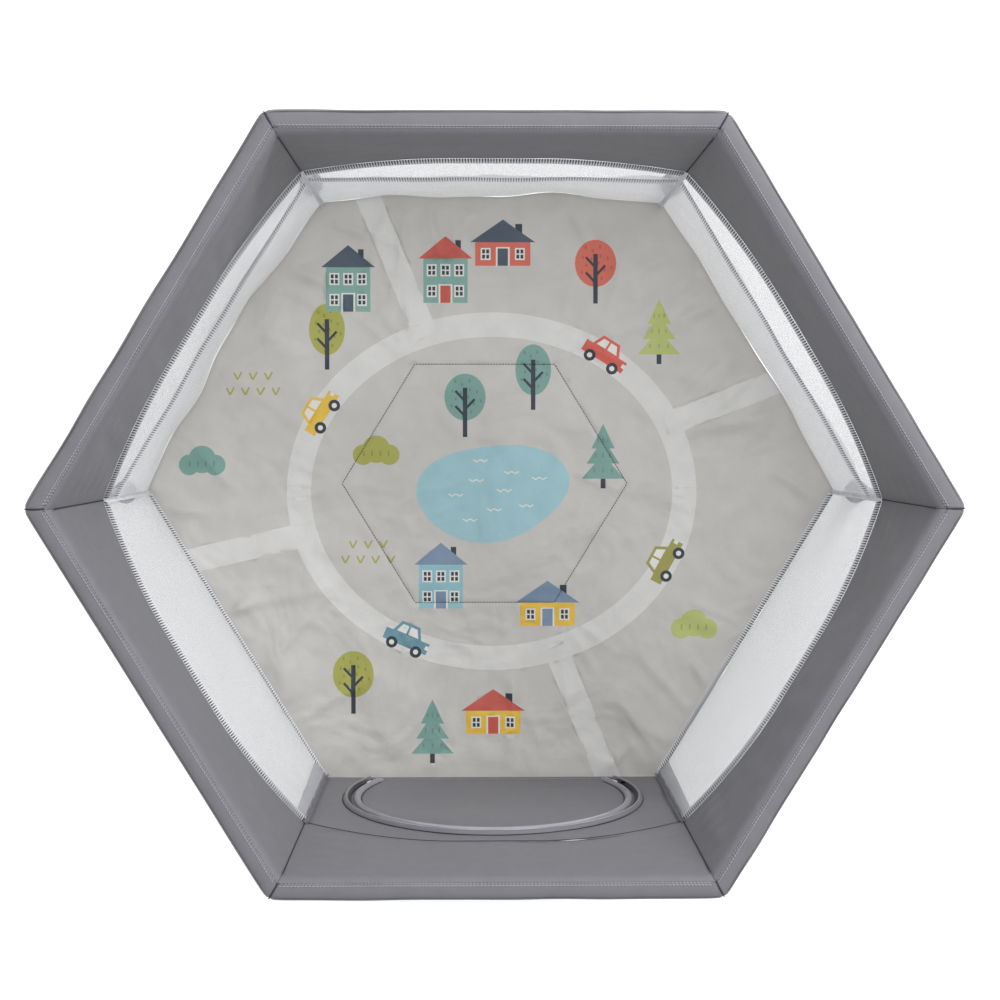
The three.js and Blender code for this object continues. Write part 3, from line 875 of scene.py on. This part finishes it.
def corner_gathers():
    """Where the mesh is bunched into its seam with the solid wall, in slanting pleats."""
    for index, name in enumerate(CORNER_NAMES):
        if not name.startswith("front"):
            continue
        here, before = SIDES[index], SIDES[(index - 1) % 6]
        side, end = (before, 1.0) if here is FRONT else (here, -1.0)
        rise = np.linspace(FLOOR_TOP + 0.004, BAND_CORNER - 0.004, 170)
        deep, z = np.meshgrid(np.linspace(0, 1, 30), rise)
        wide = 0.034 - 0.010 * z / BAND_CORNER
        share = end * (1 - (0.002 + deep * wide) / side.half)
        pleats = np.sin(z * 420 + deep * 7 + 1.3 * np.sin(z * 37))
        lift = (1 - deep**3) * (0.0034 + 0.0020 * pleats) + 0.0008
        points = side.at(share, side.wall(share, z) + lift, z).reshape(-1, 3)
        uv = np.stack([(deep * wide).ravel(), z.ravel()], axis=-1)
        faces = grid_faces(len(rise), 30)
        piece = make(f"corner_gather_{name}", points, faces, "gather", "mesh_fabric", uv=uv)


# ---- The floor's print: a plain toy village, in millimetres from the floor's centre ----
def floor_outline(inset, step=0.012):
    """The floor's edge, following the feet of the walls."""
    points = []
    for side in SIDES:
        share = np.linspace(-1, 1, int(2 * side.half / step))[:-1]
        z = np.full_like(share, FLOOR_TOP)
        y = side.wall(share, z) + inset
        points.append(side.at(share, y, z)[:, :2])
    return np.concatenate(points)


PAPER = (208, 205, 200)
ROAD = (226, 225, 222)
WATER = (166, 207, 215)
INK = (44, 55, 68)
CREAM = (238, 236, 230)
WALL_PAINTS = ((240, 198, 70), (150, 198, 208), (222, 112, 92), (134, 176, 166))
ROOF_PAINTS = ((206, 92, 80), (74, 88, 104), (128, 150, 176))
LEAVES = ((126, 168, 158), (240, 198, 70), (176, 176, 84), (190, 200, 120), (222, 112, 92))
CAR_PAINTS = ((222, 100, 86), (240, 198, 70), (110, 154, 170), (166, 160, 84))

ROAD_WIDE = 46
FLOOR_HALF_WIDE = np.abs(floor_outline(0.0)[:, 0]).max() * 1000
FLOOR_HALF_DEEP = np.abs(floor_outline(0.0)[:, 1]).max() * 1000
LOOP = (FLOOR_HALF_WIDE * 0.56, FLOOR_HALF_DEEP * 0.56)
POND = (FLOOR_HALF_WIDE * 0.21, FLOOR_HALF_DEEP * 0.17)
LANES = (0.42, 1.92, 3.40, 5.05)  # where a lane leaves the loop, as a turn from +X
ICON = 46  # half the height of a picture as it is drawn
ENLARGED = 1.3  # how much larger it is on the cloth
ROOM = ICON * ENLARGED
GOLDEN_TURN = math.pi * (3 - math.sqrt(5))  # spreads places evenly, with no two in line

drawn = []  # (outline, colour), the last on top


def poly(colour, *points):
    drawn.append((np.array(points, float), colour))


def rect(colour, x0, y0, x1, y1):
    poly(colour, (x0, y0), (x1, y0), (x1, y1), (x0, y1))


def oval(colour, x, y, rx, ry, count=26):
    t = np.linspace(0, 2 * math.pi, count, endpoint=False)
    poly(colour, *np.stack([x + rx * np.cos(t), y + ry * np.sin(t)], axis=-1))


def stroke(colour, points, width):
    """A line of some width."""
    line = np.array(points, float)
    ahead = np.gradient(line, axis=0)
    ahead /= np.linalg.norm(ahead, axis=1, keepdims=True) + 1e-9
    side = np.stack([-ahead[:, 1], ahead[:, 0]], axis=-1) * width / 2
    poly(colour, *(line + side), *(line - side)[::-1])


def pane(x, y, wide, high):
    """A window with a cream frame and a cross bar."""
    rect(CREAM, x - wide / 2 - 2.2, y - high / 2 - 2.2, x + wide / 2 + 2.2, y + high / 2 + 2.2)
    rect(INK, x - wide / 2, y - high / 2, x + wide / 2, y + high / 2)
    rect(CREAM, x - 0.9, y - high / 2, x + 0.9, y + high / 2)
    rect(CREAM, x - wide / 2, y - 0.9, x + wide / 2, y + 0.9)


def house(x, y, number):
    """A house of one or two floors, by its number."""
    wall, roof = WALL_PAINTS[number % 4], ROOF_PAINTS[(number + 1) % 3]
    floors = 1 + number % 2
    half, storey, base = 40 - 8 * (floors - 1), 30, y - ICON
    eaves = base + storey * floors + 4
    rect(INK, x + half * 0.45, eaves, x + half * 0.70, eaves + 26)
    rect(wall, x - half, base, x + half, eaves)
    poly(roof, (x - half - 7, eaves), (x + half + 7, eaves), (x, eaves + 32))
    rect(CREAM, x - 10, base, x + 10, base + 27)
    rect(roof, x - 7.5, base, x + 7.5, base + 25)
    for level in range(floors):
        for way in (-1, 1):
            pane(x + way * half * 0.62, base + 17 + storey * level, 10, 13)
    if floors > 1:
        pane(x, base + 17 + storey, 10, 13)


def round_tree(x, y, number):
    leaf = LEAVES[number % 5]
    rx, ry, middle = 30 - 4 * (number % 2), 34 + 3 * (number % 2), y + 12
    oval(leaf, x, middle, rx, ry)
    for k in range(16):
        angle, reach = k * GOLDEN_TURN, 0.86 * math.sqrt((k + 0.5) / 16)
        oval([part * 0.86 for part in leaf], x + rx * reach * math.cos(angle),
             middle + ry * reach * math.sin(angle), 1.6, 2.8, count=8)
    stroke(INK, [(x, y - ICON), (x, y - 12), (x, middle + ry * 0.4)], 6.5)
    for way, height in ((-1, -16), (1, -6), (-1, 6)):
        stroke(INK, [(x, y + height), (x + way * 14, y + height + 15)], 3.6)


def fir(x, y, number):
    green = LEAVES[(0, 3)[number % 2]]
    rect(INK, x - 3.5, y - ICON, x + 3.5, y - ICON + 16)
    for step in range(3):
        low, half = y - ICON + 14 + 22 * step, 31 - 7 * step
        poly(green, (x - half, low), (x + half, low), (x, low + 36))
    for step in range(3):
        for way in (-1, 0, 1):
            mark = (x + way * (13 - 3 * step), y - ICON + 23 + 22 * step)
            stroke([part * 0.86 for part in green], [mark, (mark[0], mark[1] + 6)], 2.2)


def bush(x, y, number):
    leaf = LEAVES[(2, 3, 0)[number % 3]]
    for across, up, size in ((-19, -6, 15), (19, -6, 15), (0, 2, 20)):
        oval(leaf, x + across, y + up, size, size)
    for across in (-18, -6, 6, 18):
        stroke([part * 0.84 for part in leaf], [(x + across, y - 8), (x + across, y)], 2.2)


def tufts(x, y, _):
    """Two rows of grass, always alike."""
    for k in range(7):
        across, up = x + (k % 4 - 1.5) * 22 + 11 * (k // 4), y - 10 + 22 * (k // 4)
        stroke(LEAVES[2], [(across - 5, up + 7), (across, up - 3)], 2.6)
        stroke(LEAVES[2], [(across, up - 3), (across + 6, up + 8)], 2.6)


def placed(draw, number, x, y, turn=0.0):
    """Draws a picture at the origin, then enlarges, turns and moves what was drawn."""
    first = len(drawn)
    draw(0, 0, number)
    c, s = ENLARGED * math.cos(turn), ENLARGED * math.sin(turn)
    for k in range(first, len(drawn)):
        u, v = drawn[k][0].T
        drawn[k] = (np.stack([x + u * c - v * s, y + u * s + v * c], axis=-1), drawn[k][1])


def car(x, y, number):
    """A small car in side view."""
    paint = CAR_PAINTS[number]
    rect(paint, x - 34, y - 9, x + 34, y + 8)
    poly(paint, (x - 24, y + 8), (x + 20, y + 8), (x + 12, y + 25), (x - 16, y + 25))
    poly(CREAM, (x - 19, y + 9), (x - 4, y + 9), (x - 4, y + 21), (x - 13, y + 21))
    poly(CREAM, (x - 1, y + 9), (x + 15, y + 9), (x + 9, y + 21), (x - 1, y + 21))
    rect(CREAM, x + 29, y - 2, x + 34, y + 4)
    for axle in (-19, 19):
        oval(INK, x + axle, y - 10, 8.5, 8.5)
        oval(CREAM, x + axle, y - 10, 3.8, 3.8, count=14)


def roads():
    for start in (0, math.pi):
        t = np.linspace(start - 0.03, start + math.pi + 0.03, 60)
        stroke(ROAD, np.stack([LOOP[0] * np.cos(t), LOOP[1] * np.sin(t)], axis=-1), ROAD_WIDE)
    for turn in LANES:
        way = np.array((LOOP[0] * math.cos(turn), LOOP[1] * math.sin(turn)))
        stroke(ROAD, [way * reach for reach in (0.99, 1.4, 1.8, 2.1)], ROAD_WIDE)


def pond():
    t = np.linspace(0, 2 * math.pi, 60, endpoint=False)
    edge = 1 + 0.08 * np.sin(2 * t + 0.6) + 0.05 * np.sin(3 * t)
    poly(WATER, *np.stack([POND[0] * edge * np.cos(t), POND[1] * edge * np.sin(t)], axis=-1))
    for k in range(9):
        angle, reach = k * GOLDEN_TURN, 0.72 * math.sqrt((k + 0.5) / 9)
        x = POND[0] * reach * math.cos(angle) + np.linspace(-14, 14, 17)
        y = POND[1] * reach * math.sin(angle) + 4 * np.abs(np.cos(np.arange(17) * math.pi / 8))
        stroke(CREAM, np.stack([x, y], axis=-1), 2.2)


def free_for_picture(x, y):
    """Whether a picture fits at a place, clear of the floor's edge, the roads and the pond."""
    room = floor_outline(ROOM * 1.15 / 1000) * 1000
    off_loop = abs(math.hypot(x / LOOP[0], y / LOOP[1]) - 1) * min(LOOP)
    if not inside(np.array([[x, y]]), room)[0] or off_loop < ROAD_WIDE / 2 + ROOM * 0.92:
        return False
    for turn in LANES:
        way = np.array((LOOP[0] * math.cos(turn), LOOP[1] * math.sin(turn)))
        way /= np.linalg.norm(way)
        beyond_loop = x * way[0] + y * way[1] > min(LOOP)
        if beyond_loop and abs(x * way[1] - y * way[0]) < ROAD_WIDE / 2 + ROOM * 0.85:
            return False
    return math.hypot(x / (POND[0] + ROOM), y / (POND[1] + ROOM)) > 1


def village():
    roads()
    pond()
    pictures = (round_tree, house, fir, bush, house, round_tree, tufts)
    count, shown = 72, 0
    for k in range(count):
        reach = math.sqrt((k + 0.5) / count)
        x = FLOOR_HALF_WIDE * reach * math.cos(k * GOLDEN_TURN)
        y = FLOOR_HALF_DEEP * reach * math.sin(k * GOLDEN_TURN)
        if free_for_picture(x, y):
            placed(pictures[shown % 7], shown, x, y)
            shown += 1
    for k, turn in enumerate((0.95, 2.65, 4.25, 5.85)):
        along = math.atan(-LOOP[1] * math.cos(turn) / (LOOP[0] * math.sin(turn)))
        placed(car, k, LOOP[0] * math.cos(turn), LOOP[1] * math.sin(turn), along)


village()
drawn = [(points / 1000, colour) for points, colour in drawn]


# ---- Floor ----
HEXAGON = 0.985  # the grip patch's seam, as a share of the patch
patch_low, patch_high = (Vector(v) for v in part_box("grip_patch"))
PATCH = (patch_high.x - patch_low.x) / 2 * HEXAGON / CORNERS[0].x
OFF_CENTRE = np.array((-0.0136, 0.0158))  # the patch is sewn on a little off the floor's middle
SEAM = np.array([tuple(corner * PATCH) for corner in CORNERS]) + OFF_CENTRE


def crease(x, y, start, end, height, width):
    """A soft ridge from one place to another, fading at both ends."""
    start, end = np.array(start), np.array(end)
    along = end - start
    share = ((x - start[0]) * along[0] + (y - start[1]) * along[1]) / (along @ along)
    off = np.hypot(x - start[0] - share.clip(0, 1) * along[0], y - start[1] - share.clip(0, 1) * along[1])
    return height * np.exp(-((off / width) ** 2)) * np.sin(math.pi * share.clip(0.0, 1.0)) ** 0.6


def seam_distance(x, y):
    """How far each point is from the hexagonal seam."""
    nearest = np.full(x.shape, 9.0)
    for a, b in zip(SEAM, np.roll(SEAM, -1, axis=0)):
        along = b - a
        share = (((x - a[0]) * along[0] + (y - a[1]) * along[1]) / (along @ along)).clip(0, 1)
        nearest = np.minimum(nearest, np.hypot(x - a[0] - share * along[0], y - a[1] - share * along[1]))
    return nearest


def floor_height(x, y):
    z = 0.0034 * ripple(x, y, 0.13, 31) + 0.0013 * ripple(x, y, 0.05, 32)
    pick = np.random.RandomState(33)
    for corner, outer in zip(SEAM, CORNERS):
        for sway in (-0.25, 0.0, 0.22):
            outwards = np.array(outer) * (0.30 + pick.uniform(0, 0.25))
            across = np.array((-outwards[1], outwards[0])) * sway
            end = corner + outwards * 0.6 + across
            z = z + crease(x, y, corner, end, pick.uniform(0.0026, 0.0050), 0.008)
    for k in range(11):
        start = (-0.14 + k * 0.028 + pick.uniform(-0.006, 0.006), SEAM[4][1] - 0.004)
        end = (start[0] + pick.uniform(-0.02, 0.02), start[1] - pick.uniform(0.03, 0.08))
        z = z + crease(x, y, start, end, 0.0032, 0.0055)
    for side in SIDES:
        for _ in range(7):
            share = pick.uniform(-0.9, 0.9)
            foot = side.middle + side.along * (share * side.half) + side.inward * 0.037
            reach = side.inward * pick.uniform(0.06, 0.22) + side.along * pick.uniform(-0.09, 0.09)
            z = z + crease(x, y, tuple(foot), tuple(foot + reach), pick.uniform(0.0032, 0.0076),
                           pick.uniform(0.006, 0.014))
    for _ in range(26):
        here, turn = pick.uniform(-0.5, 0.5, 2), pick.uniform(0, 3.14)
        reach = pick.uniform(0.04, 0.12) * np.array((math.cos(turn), math.sin(turn)))
        z = z + crease(x, y, here - reach, here + reach, pick.uniform(-0.0040, 0.0050), 0.009)
    z = (z + np.sqrt(z**2 + 0.0012**2)) / 2
    seam = seam_distance(x, y)
    return z * (1 - np.exp(-((seam / 0.004) ** 2))) + 0.0006 * np.exp(-(((seam - 0.009) / 0.005) ** 2))


def printed_floor():
    outline = floor_outline(0.0)
    cuts = [points for points, _ in drawn]
    for offset in (-0.0055, -0.0028, 0.0, 0.0028, 0.0055):
        ring = OFF_CENTRE + (SEAM - OFF_CENTRE) * (1 + offset / 0.22)
        cuts.append(np.concatenate([np.linspace(a, b, 44)[:-1] for a, b in zip(ring, np.roll(ring, -1, 0))]))
    verts, faces = triangulated(outline, cuts, 0.0075)
    middles = verts[faces].mean(axis=1)
    colours = np.tile(linear(*PAPER), (len(faces), 1))
    for points, colour in drawn:
        low, high = points.min(axis=0), points.max(axis=0)
        near = np.flatnonzero(((middles >= low) & (middles <= high)).all(axis=1))
        colours[near[inside(middles[near], points)]] = linear(*colour)
    x, y = verts.T
    rim = np.full(len(verts), 1.0)
    for side in SIDES:
        off = (x - side.middle.x) * side.inward.x + (y - side.middle.y) * side.inward.y
        rim = np.minimum(rim, off - WALL_OUT - WALL_LEAN)
    flat = np.clip(rim / 0.03, 0, 1)
    z = FLOOR_TOP + 0.0012 + flat * floor_height(x, y) - 0.0008 * (1 - np.clip(rim / 0.012, 0, 1)) ** 2
    piece = make(
        "printed_floor_cloth", np.stack([x, y, z], axis=-1), faces, "print", "printed_fabric", uv=verts
    )
    layer = piece.data.color_attributes.new("print", "BYTE_COLOR", "CORNER")
    layer.data.foreach_set("color", np.repeat(colours, 3, axis=0).astype(np.float32).ravel())


def slab(name, outline, low, high, look, slot, roundness):
    """A flat pad with rounded edges."""
    shoulder, eased_in = (high - low) * 0.2, roundness * 0.3
    rows = [(0.03, low), (roundness, low), (eased_in, low + shoulder), (0, (low + high) / 2),
            (eased_in, high - shoulder), (roundness, high), (0.03, high)]
    middle = outline.mean(axis=0)
    reach = np.linalg.norm(outline - middle, axis=1, keepdims=True)
    points, maps = [], []
    for inset, z in rows:
        ring = middle + (outline - middle) * (1 - inset / reach)
        points.append(np.column_stack([ring, np.full(len(ring), z)]))
        maps.append(ring)
    count = len(outline)
    points.append([[*middle, low], [*middle, high]])
    maps.append([middle, middle])
    faces = []
    for k in range(count):
        after = (k + 1) % count
        for row in range(len(rows) - 1):
            a, b = row * count, (row + 1) * count
            faces.append((a + k, a + after, b + after, b + k))
        end = (len(rows) - 1) * count
        faces.append((len(rows) * count, after, k))
        faces.append((len(rows) * count + 1, end + k, end + after))
    return make(name, np.concatenate(points), faces, look, slot, uv=np.concatenate(maps))


def floor_parts():
    printed_floor()
    outline = floor_outline(0.0004)
    pad = slab("floor_padding", outline, 0.0011, FLOOR_TOP - 0.0016, "under", "grip_fabric", 0.003)
    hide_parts("floor_panel")
    edge = []
    for a, b in zip(SEAM, np.roll(SEAM, -1, axis=0)):
        edge += list(OFF_CENTRE + (np.linspace(a, b, 40)[:-1] - OFF_CENTRE) / HEXAGON)
    patch = slab("grip_sheet", np.array(edge), 0.0, 0.0009, "grip", "grip_fabric", 0.001)
    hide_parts("grip_patch")
    parts = []
    stitch, gap = 0.0042, 0.0014
    for a, b in zip(SEAM, np.roll(SEAM, -1, axis=0)):
        length = float(np.hypot(*(b - a)))
        for k in range(int(length / (stitch + gap))):
            share = (np.linspace(0, stitch, 4) + k * (stitch + gap)) / length
            spots = a + (b - a) * share[:, None]
            z = FLOOR_TOP + 0.0018 + floor_height(spots[:, 0], spots[:, 1])
            parts.append(tube(np.column_stack([spots, z]), 0.00065, 5))
    make("floor_seam_stitches", *joined(parts), "dark_thread", "printed_fabric")


# ---- The frame's own nodes that show, or lie inside the cloth ----
def carried_nodes():
    looks = {"top_rail": "steel", "zip_slider": "metal", "zip_pull": "metal"}
    for name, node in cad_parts.items():
        for start, look in looks.items():
            if name.startswith(start):
                node.data.materials.clear()
                node.data.materials.append(LOOKS[look])


for index, side in enumerate(SIDES):
    padded_cover(side, 100 + index * 10)
    topstitch(side, 100 + index * 10)
    mitre(index)
    piping(side)
    band(side, 200 + index * 10)
    if side is not FRONT:
        mesh_wall(side, 300 + index * 10)
        overlock(side, "band_stitch", band_edge, 0.0068, 0.0048, 0.0026, "dark_thread", "grey_fabric")
front_wall()
door_flap()
zip_parts()
front_seam()
hardware()
corner_seams()
corner_gathers()
floor_parts()
carried_nodes()


# ---- Studio ----
def studio():
    mesh = bpy.data.meshes.new("studio_floor")
    size = 12.0
    corners = [(-size, -size, 0), (size, -size, 0), (size, size, 0), (-size, size, 0)]
    mesh.from_pydata(corners, [], [(0, 1, 2, 3)])
    look = Look("studio_floor")
    place = look.add("TexCoord")
    mottle = look.noise(place.outputs["Object"], 2.0)
    tint = look.tinted(mottle, (0.93, 0.93, 0.93, 1), (0.95, 0.95, 0.95, 1))
    look.join(tint, look.shader.inputs["Base Color"])
    look.set(Roughness=0.9, Specular_IOR_Level=0.0, Emission_Strength=0.45)
    mesh.materials.append(look.material)
    floor = bpy.data.objects.new("studio_floor", mesh)
    bpy.context.scene.collection.objects.link(floor)

    world = bpy.data.worlds.new("studio")
    world.use_nodes = True
    background = world.node_tree.nodes["Background"]
    background.inputs["Color"].default_value = (0.97, 0.985, 1.0, 1)
    background.inputs["Strength"].default_value = 0.56
    bpy.context.scene.world = world

    def lamp(name, place, aim, size, power):
        light = bpy.data.lights.new(name, "AREA")
        light.shape = "DISK"
        light.size = size
        light.energy = power
        piece = bpy.data.objects.new(name, light)
        piece.location = place
        piece.rotation_euler = (Vector(aim) - Vector(place)).to_track_quat("-Z", "Y").to_euler()
        bpy.context.scene.collection.objects.link(piece)

    lamp("overhead", (0.3, 0.6, 4.2), (0, 0, 0), 2.4, 62)
    lamp("side", (2.3, 2.5, 2.7), (0, 0, 0.2), 1.3, 78)
    bpy.context.scene.view_settings.view_transform = "Standard"


CAMERA = Vector((-0.036, 0.126, 3.237))
LENS = 61.4  # millimetres, on a 36 mm sensor
LEAN_RIGHT = math.radians(0.91)
LEAN_FRONT = math.radians(2.51)


def camera():
    """Above the pen, nearly straight down, leaning a little to the right and to the front."""
    lens = bpy.data.cameras.new("camera")
    lens.sensor_width = 36.0
    lens.lens = LENS
    lens.clip_end = 60.0
    piece = bpy.data.objects.new("camera", lens)
    aim = Vector((math.tan(LEAN_RIGHT), -math.tan(LEAN_FRONT), -1))
    right = aim.cross((0, 1, 0)).normalized()
    turn = Matrix((right, right.cross(aim).normalized(), -aim.normalized())).transposed()
    piece.location = CAMERA
    piece.rotation_euler = turn.to_euler()
    bpy.context.scene.collection.objects.link(piece)
    bpy.context.scene.camera = piece


studio()
camera()
